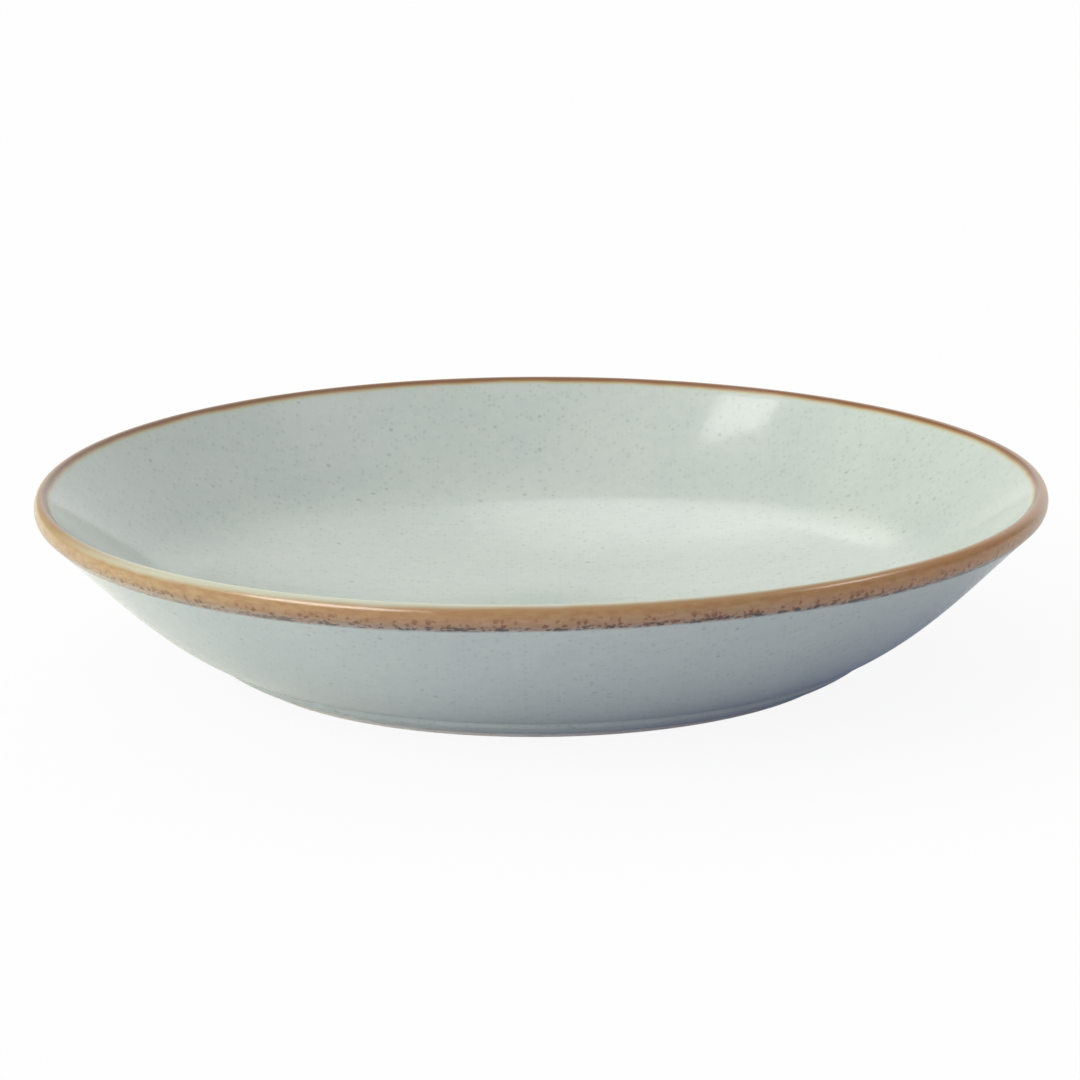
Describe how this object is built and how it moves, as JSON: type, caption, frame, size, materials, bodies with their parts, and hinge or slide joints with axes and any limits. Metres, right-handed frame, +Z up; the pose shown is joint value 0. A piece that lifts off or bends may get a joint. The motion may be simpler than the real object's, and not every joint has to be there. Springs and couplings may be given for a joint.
{
  "type": "deep plate",
  "caption": "Round deep coupe plate of speckled grey-green glazed stoneware with a brown rim band, a sloping wall and a low foot ring, for serving food.",
  "frame": {"origin": "centre of the foot ring, in the plane of its contact face, on the table", "axes": "+Z up along the plate's axis of revolution; the plate is round, and -Y is the side nearest the camera of the picture"},
  "size_m": [0.26, 0.26, 0.046],
  "materials": {
    "fired_clay": "bare fired stoneware, matt cream, seen on the foot only",
    "well_glaze": "glossy pale grey-green glaze with fine dark speckles",
    "rim_band": "glossy brown iron-oxide band with dark specks along its lower edge",
    "wall_glaze": "glossy pale grey-green glaze with fine dark speckles",
    "base_glaze": "glossy pale grey-green glaze, thinner under the base"
  },
  "bodies": {
    "root": {"clay_body": "fired_clay", "well_glaze": "well_glaze", "rim_band": "rim_band", "wall_glaze": "wall_glaze", "base_glaze": "base_glaze"}
  },
  "joints": []
}
